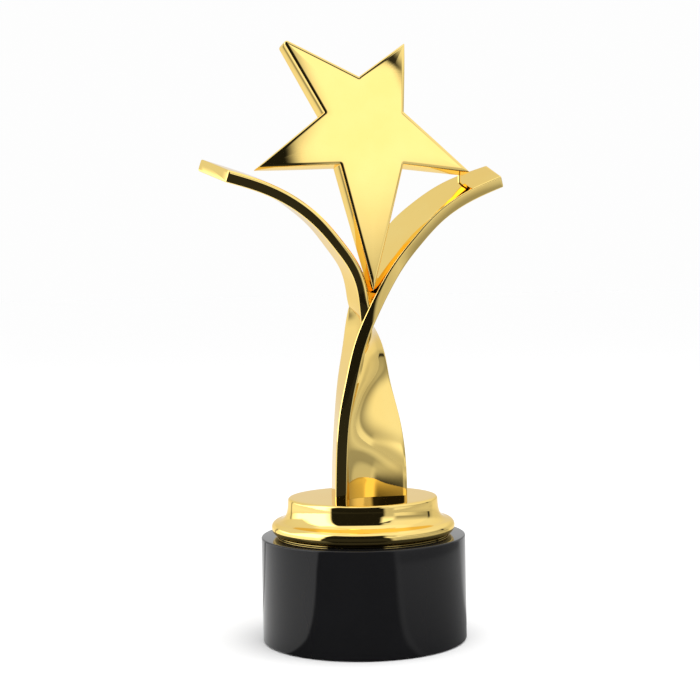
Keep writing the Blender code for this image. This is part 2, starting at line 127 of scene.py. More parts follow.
# Turned outlines, in mm: radius and z.
COLLAR_RIM, COLLAR_RIM_INSET = 1.1, 31.9
COLLAR_TOP_RINGS = (8.0, 16.0, 24.0, 29.0)
COLLAR_FLARE = (
    (33.08, 60.2), (33.2, 58.8), (33.4, 57.5), (33.7, 56.3),
    (34.15, 55.2), (34.8, 54.3), (35.7, 53.6), (36.8, 53.15),
)
COLLAR_LIP_UPPER = ((37.8, 50.3), 2.6, 84.0, 6.0)       # arc: centre, radius, first and last angle
COLLAR_LIP_LOWER = ((36.6, 50.3), 3.8, 0.0, -72.0)
COLLAR_FOOT_RADIUS, COLLAR_FOOT_TOP, COLLAR_FOOT_INNER = 37.7, 46.6, 36.2
COLLAR_INSIDE = ((36.2, 47.3), (34.2, 47.6), (34.2, 50.8), (31.4, 54.0))
COLLAR_INSIDE_TOP_RADIUS, COLLAR_WALL = 30.6, 2.4
BOSS_RADIUS, BOSS_BOTTOM, BOSS_BORE, BOSS_BORE_TOP = 5.5, 50.0, 3.3, 57.8
BASE_EDGE = 0.7
BASE_RECESS_RADIUS, BASE_BORE_RADIUS = 43.3, 3.6
BASE_UNDERSIDE = ((43.3, 1.5), (13.0, 1.5), (13.0, 15.0), (3.6, 15.0))   # felt recess, counterbore and bore
BASE_TOP_RINGS = (22.0, 38.0)
BASE_BAND = 8.0                     # height of the first ring above and below the base's rims


# ---- node helpers -----------------------------------------------------------------------------------------
class Nodes:
    """Adds nodes to a tree and links them in one call."""

    def __init__(self, tree):
        self.tree = tree

    def add(self, kind, inputs=None, **settings):
        node = self.tree.nodes.new(kind)
        for key, value in settings.items():
            setattr(node, key, value)
        for key, value in (inputs or {}).items():
            if isinstance(value, bpy.types.NodeSocket):
                self.tree.links.new(value, node.inputs[key])
            else:
                node.inputs[key].default_value = value
        return node

    def math(self, operation, first, second=0.0):
        return self.add("ShaderNodeMath", {0: first, 1: second}, operation=operation).outputs[0]

    def ramp(self, value, low, high, start=0.0, end=1.0):
        """A smooth step of value from low..high to start..end."""
        node = self.add("ShaderNodeMapRange", {"Value": value, "From Min": low, "From Max": high,
                                               "To Min": start, "To Max": end},
                        interpolation_type="SMOOTHSTEP")
        return node.outputs["Result"]

    def band(self, value, edges):
        """1 between the inner two of four edges, easing to 0 at the outer two."""
        start, rise, fall, end = edges
        return self.math("MULTIPLY", self.ramp(value, start, rise), self.ramp(value, end, fall))

    def mix(self, factor, first, second):
        node = self.add("ShaderNodeMix", {0: factor, 2: first, 3: second}, data_type="FLOAT")
        return node.outputs[0]


def new_material(name):
    material = bpy.data.materials.new(name)
    material.use_nodes = True
    nodes = Nodes(material.node_tree)
    return material, nodes, material.node_tree.nodes["Principled BSDF"]


def link(nodes, source, shader, socket):
    nodes.tree.links.new(source, shader.inputs[socket])


# ---- materials --------------------------------------------------------------------------------------------
def gold_material():
    """Polished gold plating: faint buffing marks, a soft orange peel and uneven gloss."""
    material, nodes, shader = new_material("mirror_gold")
    place = nodes.add("ShaderNodeTexCoord").outputs["Object"]
    cloud = nodes.add("ShaderNodeTexNoise", {"Vector": place, "Scale": 60.0, "Detail": 3.0}).outputs["Fac"]
    speck = nodes.add("ShaderNodeTexNoise", {"Vector": place, "Scale": 900.0, "Detail": 2.0}).outputs["Fac"]
    stretch = nodes.add("ShaderNodeMapping", {"Vector": place, "Scale": (1.0, 1.0, 30.0)}).outputs["Vector"]
    marks = nodes.add("ShaderNodeTexNoise", {"Vector": stretch, "Scale": 160.0, "Detail": 4.0}).outputs["Fac"]
    tint = nodes.add("ShaderNodeValToRGB", {"Fac": cloud})
    tint.color_ramp.elements[0].position = 0.3
    tint.color_ramp.elements[0].color = (1.0, 0.735, 0.235, 1.0)
    tint.color_ramp.elements[1].position = 0.7
    tint.color_ramp.elements[1].color = (1.0, 0.765, 0.265, 1.0)
    link(nodes, tint.outputs["Color"], shader, "Base Color")
    rub = nodes.ramp(marks, 0.5, 0.8, 0.0, 0.03)
    gloss = nodes.math("ADD", nodes.ramp(cloud, 0.35, 0.7, 0.018, 0.035), rub)
    link(nodes, gloss, shader, "Roughness")
    height = nodes.math("ADD", nodes.math("MULTIPLY", marks, 0.3), nodes.math("MULTIPLY", speck, 0.2))
    bump = nodes.add("ShaderNodeBump", {"Height": height, "Strength": 0.02, "Distance": 0.0002})
    link(nodes, bump.outputs["Normal"], shader, "Normal")
    shader.inputs["Metallic"].default_value = 1.0
    shader.inputs["Specular Tint"].default_value = (0.95, 0.84, 0.60, 1.0)
    return material


def black_material():
    """Deep black lacquer under a clear gloss, with faint dust and polishing haze."""
    material, nodes, shader = new_material("black_lacquer")
    place = nodes.add("ShaderNodeTexCoord").outputs["Object"]
    haze = nodes.add("ShaderNodeTexNoise", {"Vector": place, "Scale": 35.0, "Detail": 4.0}).outputs["Fac"]
    dust = nodes.add("ShaderNodeTexNoise", {"Vector": place, "Scale": 1800.0, "Detail": 1.0}).outputs["Fac"]
    tint = nodes.add("ShaderNodeValToRGB", {"Fac": haze})
    tint.color_ramp.elements[0].color = (0.0068, 0.0068, 0.0073, 1.0)
    tint.color_ramp.elements[1].color = (0.0100, 0.0100, 0.0110, 1.0)
    link(nodes, tint.outputs["Color"], shader, "Base Color")
    gloss = nodes.math("ADD", nodes.ramp(haze, 0.4, 0.7, 0.05, 0.08), nodes.ramp(dust, 0.68, 0.75, 0.0, 0.15))
    link(nodes, gloss, shader, "Roughness")
    bump = nodes.add("ShaderNodeBump", {"Height": haze, "Strength": 0.02, "Distance": 0.0003})
    link(nodes, bump.outputs["Normal"], shader, "Normal")
    shader.inputs["IOR"].default_value = 1.35
    return material


def steel_material():
    """Zinc-plated fasteners with fine turning marks and a bluish mottle."""
    material, nodes, shader = new_material("zinc_steel")
    place = nodes.add("ShaderNodeTexCoord").outputs["Object"]
    stretch = nodes.add("ShaderNodeMapping", {"Vector": place, "Scale": (1.0, 1.0, 25.0)}).outputs["Vector"]
    grain = nodes.add("ShaderNodeTexNoise", {"Vector": stretch, "Scale": 500.0, "Detail": 3.0})
    turning = grain.outputs["Fac"]
    mottle = nodes.add("ShaderNodeTexNoise", {"Vector": place, "Scale": 250.0, "Detail": 3.0}).outputs["Fac"]
    tint = nodes.add("ShaderNodeValToRGB", {"Fac": mottle})
    tint.color_ramp.elements[0].color = (0.50, 0.52, 0.55, 1.0)
    tint.color_ramp.elements[1].color = (0.70, 0.70, 0.69, 1.0)
    link(nodes, tint.outputs["Color"], shader, "Base Color")
    link(nodes, nodes.ramp(turning, 0.3, 0.7, 0.22, 0.42), shader, "Roughness")
    bump = nodes.add("ShaderNodeBump", {"Height": turning, "Strength": 0.15, "Distance": 0.0002})
    link(nodes, bump.outputs["Normal"], shader, "Normal")
    shader.inputs["Metallic"].default_value = 1.0
    return material


def felt_material():
    """Black felt: matted short fibres with lint."""
    material, nodes, shader = new_material("black_felt")
    place = nodes.add("ShaderNodeTexCoord").outputs["Object"]
    fibre = nodes.add("ShaderNodeTexNoise", {"Vector": place, "Scale": 1500.0, "Detail": 6.0,
                                             "Distortion": 2.0}).outputs["Fac"]
    patch = nodes.add("ShaderNodeTexNoise", {"Vector": place, "Scale": 90.0, "Detail": 3.0}).outputs["Fac"]
    both = nodes.math("ADD", nodes.math("MULTIPLY", fibre, 0.75), nodes.math("MULTIPLY", patch, 0.25))
    tint = nodes.add("ShaderNodeValToRGB", {"Fac": both})
    tint.color_ramp.elements[0].position = 0.35
    tint.color_ramp.elements[0].color = (0.010, 0.010, 0.011, 1.0)
    tint.color_ramp.elements[1].position = 0.7
    tint.color_ramp.elements[1].color = (0.050, 0.050, 0.054, 1.0)
    link(nodes, tint.outputs["Color"], shader, "Base Color")
    bump = nodes.add("ShaderNodeBump", {"Height": both, "Strength": 0.8, "Distance": 0.0004})
    link(nodes, bump.outputs["Normal"], shader, "Normal")
    shader.inputs["Roughness"].default_value = 0.95
    shader.inputs["Sheen Weight"].default_value = 0.3
    return material


def foam_material():
    """Dark closed-cell foam of the ring under the collar."""
    material, nodes, shader = new_material("foam_ring")
    place = nodes.add("ShaderNodeTexCoord").outputs["Object"]
    cells = nodes.add("ShaderNodeTexVoronoi", {"Vector": place, "Scale": 1600.0}).outputs["Distance"]
    tint = nodes.add("ShaderNodeValToRGB", {"Fac": cells})
    tint.color_ramp.elements[0].color = (0.05, 0.05, 0.05, 1.0)
    tint.color_ramp.elements[1].color = (0.12, 0.12, 0.12, 1.0)
    link(nodes, tint.outputs["Color"], shader, "Base Color")
    bump = nodes.add("ShaderNodeBump", {"Height": cells, "Strength": 0.5, "Distance": 0.0002})
    link(nodes, bump.outputs["Normal"], shader, "Normal")
    shader.inputs["Roughness"].default_value = 0.85
    return material


# ---- mesh helpers -----------------------------------------------------------------------------------------
def natural_spline(points, samples):
    """A natural cubic spline through rows of numbers, read at samples evenly along its chords."""
    rows = np.array(points, dtype=float)
    chords = np.linalg.norm(np.diff(rows[:, :3], axis=0), axis=1)
    knots = np.concatenate(([0.0], np.cumsum(chords)))
    count = len(rows)
    system = np.zeros((count, count))
    right = np.zeros_like(rows)
    system[0, 0] = system[-1, -1] = 1.0
    for i in range(1, count - 1):
        before, after = chords[i - 1], chords[i]
        system[i, i - 1:i + 2] = before, 2.0 * (before + after), after
        right[i] = 6.0 * ((rows[i + 1] - rows[i]) / after - (rows[i] - rows[i - 1]) / before)
    bends = np.linalg.solve(system, right)
    result = []
    for s in np.linspace(0.0, knots[-1], samples):
        i = min(int(np.searchsorted(knots, s, side="right")) - 1, count - 2)
        span = chords[i]
        a, b = (knots[i + 1] - s) / span, (s - knots[i]) / span
        bend = ((a ** 3 - a) * bends[i] + (b ** 3 - b) * bends[i + 1]) * span * span / 6.0
        result.append(a * rows[i] + b * rows[i + 1] + bend)
    return np.array(result)


def skin(rows, caps=True):
    """A mesh through closed rows of points, each row as long as the next."""
    bm = bmesh.new()
    grid = [[bm.verts.new(point) for point in row] for row in rows]
    for lower, upper in zip(grid, grid[1:]):
        for j in range(len(lower)):
            k = (j + 1) % len(lower)
            bm.faces.new((lower[j], lower[k], upper[k], upper[j]))
    if caps:
        bm.faces.new(list(reversed(grid[0])))
        bm.faces.new(grid[-1])
    bmesh.ops.recalc_face_normals(bm, faces=bm.faces)
    mesh = bpy.data.meshes.new("skin")
    bm.to_mesh(mesh)
    bm.free()
    return mesh


def add_object(name, mesh, material=None):
    obj = bpy.data.objects.new(name, mesh)
    mesh.name = name
    scene.collection.objects.link(obj)
    if material:
        mesh.materials.append(material)
    return obj


def smooth(mesh, degrees=40.0):
    mesh.shade_smooth()
    mesh.set_sharp_from_angle(angle=math.radians(degrees))


def combine(obj, cutter, operation="DIFFERENCE", own=False):
    """Boolean obj with cutter, keep the result in obj and drop the cutter."""
    modifier = obj.modifiers.new("cut", "BOOLEAN")
    modifier.operation = operation
    modifier.solver = "EXACT"
    modifier.use_self = own
    modifier.object = cutter
    graph = bpy.context.evaluated_depsgraph_get()
    mesh = bpy.data.meshes.new_from_object(obj.evaluated_get(graph))
    obj.modifiers.remove(modifier)
    old = obj.data
    obj.data = mesh
    mesh.name = obj.name
    bpy.data.meshes.remove(old)
    bpy.data.objects.remove(cutter, do_unlink=True)


def box_object(low, high):
    bm = bmesh.new()
    bmesh.ops.create_cube(bm, size=1.0)
    bmesh.ops.scale(bm, vec=Vector(high) - Vector(low), verts=bm.verts)
    bmesh.ops.translate(bm, vec=(Vector(high) + Vector(low)) / 2.0, verts=bm.verts)
    mesh = bpy.data.meshes.new("box")
    bm.to_mesh(mesh)
    bm.free()
    return add_object("box", mesh)


# ---- ribbons ----------------------------------------------------------------------------------------------
def plate_section(width, thickness, corner, crown, upper, turn, face_steps, arc_steps=5):
    """Closed outline of the plate: a across its depth, b through its thickness, corners rounded.

    upper is the radius of the front corner on the far side, and turn is the slope of the front narrow
    face, which fades out over two thicknesses.
    """
    half = thickness / 2.0
    points = []

    def add_arc(center_a, center_b, start, radius=corner):
        for i in range(arc_steps + 1):
            angle = math.radians(start + 90.0 * i / arc_steps)
            points.append((center_a + radius * math.cos(angle), center_b + radius * math.sin(angle)))

    def add_run(start, end):
        for i in range(1, face_steps):
            share = i / face_steps
            points.append((start[0] + (end[0] - start[0]) * share, start[1] + (end[1] - start[1]) * share))

    add_arc(width - corner, -half + corner, -90.0)
    add_run((width, -half + corner), (width, half - corner))
    add_arc(width - corner, half - corner, 0.0)
    add_run((width - corner, half), (upper, half))
    add_arc(upper, half - upper, 90.0, upper)
    add_run((0.0, half - upper), (0.0, -half + corner))
    add_arc(corner, -half + corner, 180.0)
    add_run((corner, -half), (width - corner, -half))
    shaped = []
    for a, b in points:
        bulge = crown * (1.0 - (b / half) ** 2)
        if a > width / 2.0:
            a += bulge
        else:
            a += turn * b * max(0.0, 1.0 - a / (2.0 * thickness)) - bulge
        shaped.append((a, b))
    return shaped


def profile_at(pairs, z):
    """Value at height z along (height, value) pairs in mm, eased between them."""
    heights, values = zip(*pairs)
    place = float(np.interp(z / MM, heights, range(len(heights))))
    i = min(int(place), len(heights) - 2)
    share = place - i
    share = share * share * (3.0 - 2.0 * share)
    return values[i] + (values[i + 1] - values[i]) * share


def ribbon(name, stations, samples, thickness=PLATE_THICKNESS, crown=PLATE_CROWN, corner=PLATE_CORNER,
           grow=0.0, face_steps=8, sweep=None, upper=None, turn=None, material=None):
    """A plate through the stations with a rounded upper end; sweep may bend each row of points."""
    rows = natural_spline([edge + depth for edge, depth in stations], samples) * MM
    edges, depths = rows[:, :3], rows[:, 3:]
    middles = edges + depths / 2.0
    sections = []
    for i in range(samples):
        before, after = max(i - 1, 0), min(i + 1, samples - 1)
        tangent = Vector(middles[after] - middles[before]).normalized()
        depth = Vector(depths[i])
        width = depth.length + 2.0 * grow
        along = depth.normalized()
        side = along.cross(tangent).normalized()
        start = Vector(edges[i]) - along * grow
        sections.append((start, along, side, tangent, width))
    rows = []

    def add_row(section, shrink, shift):
        start, along, side, tangent, width = section
        round_upper = (profile_at(upper, start.z) if upper else corner) - shrink
        slope = profile_at(turn, start.z) if turn else 0.0
        outline = plate_section(width - 2.0 * shrink, thickness - 2.0 * shrink, corner - shrink, crown,
                                round_upper, slope, face_steps)
        origin = start + along * shrink + tangent * shift
        row = [origin + along * a + side * b for a, b in outline]
        rows.append(sweep(row, outline, width) if sweep else row)

    for section in sections[:-1]:
        add_row(section, 0.0, 0.0)
    rounding = corner * TIP_ROUNDING
    for i in range(TIP_STEPS + 1):
        angle = math.radians(90.0 * i / TIP_STEPS)
        add_row(sections[-1], rounding * (1.0 - math.cos(angle)), rounding * (math.sin(angle) - 1.0))
    return add_object(name, skin(rows), material)


# The left ribbon's front face below the crossing: height in mm and the heading of its outer part in degrees.
SWEEP_HEADINGS = (
    (50.0, -5.0), (62.0, -5.0), (70.0, -3.5), (76.0, -0.5), (84.0, 4.5), (96.0, 12.0), (104.0, 18.0),
    (113.0, 26.0), (121.0, 35.0), (130.0, 49.0), (140.0, 68.0),
)
SWEEP_START_HEADING = 62.0
SWEEP_BLEND = 12.0 * MM             # length of the outer part taken up by the hollow
SWEEP_TOP, SWEEP_FULL = 135.0 * MM, 124.0 * MM
SWEEP_TENSION = 0.62                # how far the curve's handles reach towards its corner
SWEEP_STEPS = 24
WALL_LEVEL = -10.35 * MM            # where the hollow leaves the right ribbon's front edge
WALL_OFFSET = 2.4                   # of the right ribbon's side from its middle, in mm


def smooth_lookup(pairs, place):
    """Value at place along (place, value) pairs, by a cubic through the four nearest."""
    places = [pair[0] for pair in pairs]
    i = min(max(int(np.searchsorted(places, place)) - 1, 0), len(pairs) - 2)
    first = min(max(i - 1, 0), len(pairs) - 4)
    total = 0.0
    for j in range(first, first + 4):
        weight = 1.0
        for k in range(first, first + 4):
            if k != j:
                weight *= (place - places[k]) / (places[j] - places[k])
        total += weight * pairs[j][1]
    return total


def right_wall(z):
    """X of the right ribbon's right side, at its front edge."""
    return (smooth_lookup([(edge[2], edge[0]) for edge, _ in RIGHT_STATIONS], z / MM) + WALL_OFFSET) * MM


def heading(angle):
    return Vector((math.cos(angle), math.sin(angle)))


def left_sweep(row, outline, width):
    """Bend the front face into the hollow that runs up to the right ribbon's front edge."""
    z = row[0].z
    share = min(1.0, max(0.0, (SWEEP_TOP - z) / (SWEEP_TOP - SWEEP_FULL)))
    weight = share * share * (3.0 - 2.0 * share)
    if weight == 0.0:
        return row
    front = [i for i, (a, b) in enumerate(outline) if b > 0.0 and a < width - PLATE_CORNER]
    far = max(front, key=lambda i: outline[i][0])
    end = row[far].to_2d()
    start = Vector((right_wall(z), WALL_LEVEL))
    angle = math.radians(smooth_lookup(SWEEP_HEADINGS, z / MM))
    into, out = heading(math.radians(SWEEP_START_HEADING)), heading(angle)
    cross = into.x * out.y - into.y * out.x
    reach = ((end - start).x * out.y - (end - start).y * out.x) / cross
    corner = start + into * reach
    run = (end - corner).length
    join = corner.lerp(end, min(1.0, SWEEP_BLEND / run))
    path = []
    first, second = start.lerp(corner, SWEEP_TENSION), join.lerp(corner, SWEEP_TENSION)
    for k in range(SWEEP_STEPS + 1):
        t = k / SWEEP_STEPS
        path.append(start * (1 - t) ** 3 + first * (3 * t * (1 - t) ** 2) + second * (3 * t * t * (1 - t))
                    + join * t ** 3)
    path.append(end)
    lengths = np.concatenate(([0.0], np.cumsum([(q - p).length for p, q in zip(path, path[1:])])))
    result = list(row)
    reach_out = outline[far][0]
    for i in front:
        along = max(0.0, outline[i][0]) / reach_out * lengths[-1]
        x = float(np.interp(along, lengths, [p.x for p in path]))
        y = float(np.interp(along, lengths, [p.y for p in path]))
        result[i] = row[i].lerp(Vector((x, y, row[i].z)), weight)
    return result


def trim_foot(obj):
    """Cut a ribbon level just above the collar's top and close it."""
    bm = bmesh.new()
    bm.from_mesh(obj.data)
    parts = bm.verts[:] + bm.edges[:] + bm.faces[:]
    cut = bmesh.ops.bisect_plane(bm, geom=parts, plane_co=(0.0, 0.0, FOOT_LEVEL), plane_no=(0.0, 0.0, 1.0),
                                 clear_inner=True)
    rim = [item for item in cut["geom_cut"] if isinstance(item, bmesh.types.BMEdge)]
    bmesh.ops.edgeloop_fill(bm, edges=rim)
    bmesh.ops.recalc_face_normals(bm, faces=bm.faces)
    bm.to_mesh(obj.data)
    bm.free()


def lap_tool(name, stations, samples, front, back):
    """A ribbon between two depths, with the lap's gap on both faces, that cuts the other ribbon."""
    tool = ribbon(name, stations, samples, thickness=PLATE_THICKNESS + 2.0 * LAP_GAP, crown=0.0,
                  corner=PLATE_CORNER / 4.0, grow=TOOL_OVERRUN)
    combine(tool, box_object((-REACH, front, 0.0), (REACH, back, 4.0 * REACH)), "INTERSECT")
    return tool


def make_ribbons(gold):
    """Both ribbons, halved where they cross: the right one in front and the left one behind."""
    right = ribbon("right_ribbon_plate", RIGHT_STATIONS, RIGHT_ROWS, turn=RIGHT_FACE_TURN, material=gold)
    left = ribbon("left_ribbon_plate", LEFT_STATIONS, LEFT_ROWS, face_steps=36, sweep=left_sweep,
                  upper=LEFT_UPPER_CORNER, material=gold)
    right_tool = lap_tool("right_tool", RIGHT_STATIONS, RIGHT_ROWS, -REACH, LAP_GAP)
    left_tool = lap_tool("left_tool", LEFT_STATIONS, LEFT_ROWS, -LAP_GAP, REACH)
    combine(left, box_object((LAP_LEFT, -REACH, LAP_LOW), (REACH, 0.0, LAP_HIGH)), own=True)
    combine(left, right_tool)
    combine(right, left_tool)
    for obj in (left, right):
        trim_foot(obj)
        smooth(obj.data, 35.0)
    return left, right


# ---- star -------------------------------------------------------------------------------------------------
ARC_SHARE = 0.45                    # the most of an edge that a corner's arc takes up
SMALLEST_RADIUS = 0.05              # of a tip, in mm


def inset_corners(corners, distance):
    """The star's corners with every edge moved inwards by distance."""
    count = len(corners)
    result = []
    for i in range(count):
        before, here, after = corners[i - 1], corners[i], corners[(i + 1) % count]
        into, out = (here - before).normalized(), (after - here).normalized()
        normal_in, normal_out = Vector((into.y, -into.x)), Vector((out.y, -out.x))
        bisector = (normal_in + normal_out) / (1.0 + normal_in.dot(normal_out))
        result.append(here + bisector * distance)
    return result


def rounded_ring(corners, radii, arc_steps=6, run_steps=14):
    """The outline with each corner replaced by an arc, and points along each straight run."""
    arcs = []
    count = len(corners)
    for i in range(count):
        before, here, after = corners[i - 1], corners[i], corners[(i + 1) % count]
        back, ahead = (before - here).normalized(), (after - here).normalized()
        half = back.angle(ahead) / 2.0
        longest = ARC_SHARE * min((before - here).length, (after - here).length)
        setback = min(radii[i] / math.tan(half), longest)
        radius = setback * math.tan(half)
        center = here + (back + ahead).normalized() * (radius / math.sin(half))
        first, last = here + back * setback - center, here + ahead * setback - center
        turn = first.angle_signed(last)
        arc = []
        for k in range(arc_steps + 1):
            angle = -turn * k / arc_steps
            cos, sin = math.cos(angle), math.sin(angle)
            arc.append(center + Vector((first.x * cos - first.y * sin, first.x * sin + first.y * cos)))
        arcs.append(arc)
    ring = []
    for i, arc in enumerate(arcs):
        ring += arc
        start, end = arc[-1], arcs[(i + 1) % count][0]
        ring += [start.lerp(end, k / run_steps) for k in range(1, run_steps)]
    return ring


def make_star(gold):
    """Thick star with a slightly pillowed face, a fine bevel and a blunt top left tip."""
    corners = [Vector(point) for point in STAR_OUTLINE]
    profile = list(STAR_EDGE)
    for distance in STAR_RINGS:
        rise = STAR_RISE * (1.0 - (1.0 - distance / STAR_RISE_REACH) ** 2)
        profile.append((distance, STAR_RIM_DEPTH - rise))
    center = Vector(STAR_CENTER)

    def ring_at(distance):
        radii = []
        for i in range(len(corners)):
            start = STAR_BLUNT if i == 0 else STAR_SHARP
            is_tip = i % 2 == 0
            radii.append(max(start - distance, SMALLEST_RADIUS) if is_tip else STAR_SHARP + distance)
        return rounded_ring(inset_corners(corners, distance), radii)

    def dome(point):
        drop = (point - center).length_squared / STAR_PILLOW
        for tip, reach, depth in STAR_DROOPS:
            drop += depth * max(0.0, 1.0 - (point - Vector(tip)).length / reach) ** 2
        return drop

    half = STAR_THICKNESS / MM / 2.0
    rows = []
    last = ring_at(STAR_RINGS[-1])
    heart = sum(last, Vector((0.0, 0.0))) / len(last)
    front = []
    for share in STAR_MIDDLE:
        front.append([(heart.lerp(point, share), profile[-1][1]) for point in last])
    for distance, drop in reversed(profile):
        front.append([(point, drop) for point in ring_at(distance)])
    for ring in front:
        rows.append([(point, drop + min(dome(point), STAR_DROP_LIMIT)) for point, drop in ring])
    back = [[(point, 2.0 * half - depth) for point, depth in ring] for ring in reversed(rows)]
    axis_up = Vector((0.0, math.sin(STAR_LEAN), math.cos(STAR_LEAN)))
    axis_back = Vector((0.0, math.cos(STAR_LEAN), -math.sin(STAR_LEAN)))
    placed = []
    for ring in rows + back:
        placed.append([STAR_ORIGIN + Vector((point.x, 0.0, 0.0)) * MM + axis_up * (point.y * MM)
                       + axis_back * (depth * MM) for point, depth in ring])
    star = add_object("star_body", skin(placed), gold)
    smooth(star.data, 50.0)
    return star


# ---- turned pieces ----------------------------------------------------------------------------------------
LATHE_SIDES = 192
WELD = 0.001 * MM


def lathe(name, profile, material):
    """Turn a closed loop of (radius, z) points, in metres, about Z."""
    rows = []
    for i in range(LATHE_SIDES):
        angle = 2.0 * math.pi * i / LATHE_SIDES
        rows.append([Vector((r * math.cos(angle), r * math.sin(angle), z)) for r, z in profile])
    rows.append(rows[0])
    mesh = skin(rows, caps=False)
    bm = bmesh.new()
    bm.from_mesh(mesh)
    bmesh.ops.remove_doubles(bm, verts=bm.verts, dist=WELD)
    bmesh.ops.recalc_face_normals(bm, faces=bm.faces)
    bm.to_mesh(mesh)
    bm.free()
    smooth(mesh, 30.0)
    return add_object(name, mesh, material)


def arc_points(center, radius, start, end, steps=8):
    points = []
    for i in range(steps + 1):
        angle = math.radians(start + (end - start) * i / steps)
        points.append((center[0] + radius * math.cos(angle), center[1] + radius * math.sin(angle)))
    return points


def make_collar(gold):
    """The stepped collar's polished shell: flat top, flared side, rolled lip and short foot."""
    top, foot = COLLAR_HIGH.z / MM, COLLAR_LOW.z / MM
    ceiling = top - COLLAR_WALL
    outline = arc_points((COLLAR_RIM_INSET, top - COLLAR_RIM), COLLAR_RIM, 90.0, 4.0)
    outline += COLLAR_FLARE
    outline += arc_points(*COLLAR_LIP_UPPER, 10)
    outline += arc_points(*COLLAR_LIP_LOWER, 12)
    outline += [(COLLAR_FOOT_RADIUS, COLLAR_FOOT_TOP), (COLLAR_FOOT_RADIUS, foot), (COLLAR_FOOT_INNER, foot)]
    outline += COLLAR_INSIDE
    outline += [(COLLAR_INSIDE_TOP_RADIUS, ceiling), (BOSS_RADIUS, ceiling), (BOSS_RADIUS, BOSS_BOTTOM)]
    outline += [(BOSS_BORE, BOSS_BOTTOM), (BOSS_BORE, BOSS_BORE_TOP), (0.0, BOSS_BORE_TOP), (0.0, top)]
    outline += [(radius, top) for radius in COLLAR_TOP_RINGS]
    return lathe("collar_shell", [(r * MM, z * MM) for r, z in outline], gold)


def make_base(black):
    """The black base with finely rounded rims, the felt's recess, bore and counterbore."""
    radius, top, bottom = BASE_HIGH.x / MM, BASE_HIGH.z / MM, BASE_LOW.z / MM
    outline = arc_points((radius - BASE_EDGE, top - BASE_EDGE), BASE_EDGE, 90.0, 0.0)
    outline += [(radius, top - BASE_BAND), (radius, top / 2.0), (radius, bottom + BASE_BAND)]
    outline += arc_points((radius - BASE_EDGE, bottom + BASE_EDGE), BASE_EDGE, 0.0, -90.0)
    outline.append((BASE_RECESS_RADIUS, bottom))
    outline += BASE_UNDERSIDE
    outline += [(ring_radius, top) for ring_radius in (BASE_BORE_RADIUS, *BASE_TOP_RINGS)]
    return lathe("base_body", [(r * MM, z * MM) for r, z in outline], black)


# ---- studio -----------------------------------------------------------------------------------------------
CAMERA_AZIMUTH = -17.0              # degrees; the camera stands in front and to the left
CAMERA_PLACE = Vector((-197.07, -629.44, 154.2)) * MM
CAMERA_PITCH = 2.31                 # degrees down
CAMERA_ROLL = -1.02
CAMERA_LENS = 77.14                 # mm, on a sensor 36 mm wide
SENSOR_WIDTH = 36.0


def make_camera():
    camera = bpy.data.objects.new("camera", bpy.data.cameras.new("camera"))
    scene.collection.objects.link(camera)
    camera.data.lens = CAMERA_LENS
    camera.data.sensor_width = SENSOR_WIDTH
    camera.data.clip_start = 0.01
    yaw = Matrix.Rotation(math.radians(CAMERA_AZIMUTH), 4, "Z")
    pitch = Matrix.Rotation(math.radians(90.0 - CAMERA_PITCH), 4, "X")
    roll = Matrix.Rotation(math.radians(CAMERA_ROLL), 4, "Z")
    camera.matrix_world = Matrix.Translation(CAMERA_PLACE) @ yaw @ pitch @ roll
    scene.camera = camera


# Brightness seen around the set, by degrees to the right of the camera: a dark front gap with the camera in
# it, a white softbox on the left, a falling panel on the right, pale walls behind and two thin dark slits.
SURROUND = (
    (-180.0, 0.84), (-145.0, 0.95), (-140.0, 0.80), (-138.5, 0.30), (-136.0, 0.30), (-134.5, 1.0),
    (-126.0, 1.7), (-114.0, 2.7), (-60.0, 2.7), (-52.0, 1.6), (-48.0, 0.012), (30.0, 0.012), (36.0, 0.66),
    (50.0, 0.95), (66.0, 0.90), (80.0, 0.72), (90.0, 0.54), (100.0, 0.47), (113.0, 0.38), (115.0, 0.03),
    (118.0, 0.03), (120.5, 0.50), (130.0, 0.72), (160.0, 0.80), (180.0, 0.84),
)
SURROUND_PEAK = 3.0

# Zones of the set that change with height.  Turns are in degrees to the right of the camera, rises in degrees
# above the horizon.  A zone with two numbers eases in from the first to the second, and one with four eases
# out again.  LEVELS and CARD_FOOT go on with the two values that the first two numbers map to.
WALL_LEVEL_ABOVE = 0.92             # of the walls high up on the right and behind
RIGHT_TURNS, RIGHT_RISE = (34.0, 46.0, 110.0, 125.0), (14.0, 30.0)
BACK_TURNS, BACK_RISE = (88.0, 104.0), (8.0, 24.0)
PANE_TURNS, PANE_RISE = (44.0, 54.0, 106.0, 116.0), (4.0, 8.0)
PANE_LEVELS = (3.0, 26.0, 0.27, 1.0)
CORNER_TURNS, CORNER_RISE, CORNER_LEVEL = (-100.0, -106.0), (9.0, 15.0), 0.82
CARD_TURNS = (24.0, 32.0, 44.0, 50.0)   # the card that lights the star's face, in front and to the right
CARD_RISE = (-4.0, 1.0)
CARD_FOOT = (3.0, 9.0, -6.0, 0.0)       # its left edge steps in by 6 degrees near the horizon
CARD_SLOPE, CARD_MIDDLE = 0.8, 36.0     # its upper edge slants down to the right
CARD_TOP = (27.0, 23.0)
CARD_LEVELS = (3.0, 15.0, 0.60, 1.28)
FRAME_TURNS, FRAME_TOP = (24.0, 30.0, 40.0, 46.0), (36.0, 30.0)   # its dark frame
FRAME_FOOT, FRAME_LEVEL = (22.0, 25.0), 0.03
OVERHEAD_RISE, OVERHEAD_LEVEL = (48.0, 58.0), 1.10
BACKDROP_LEVEL = 0.985              # what the camera itself sees


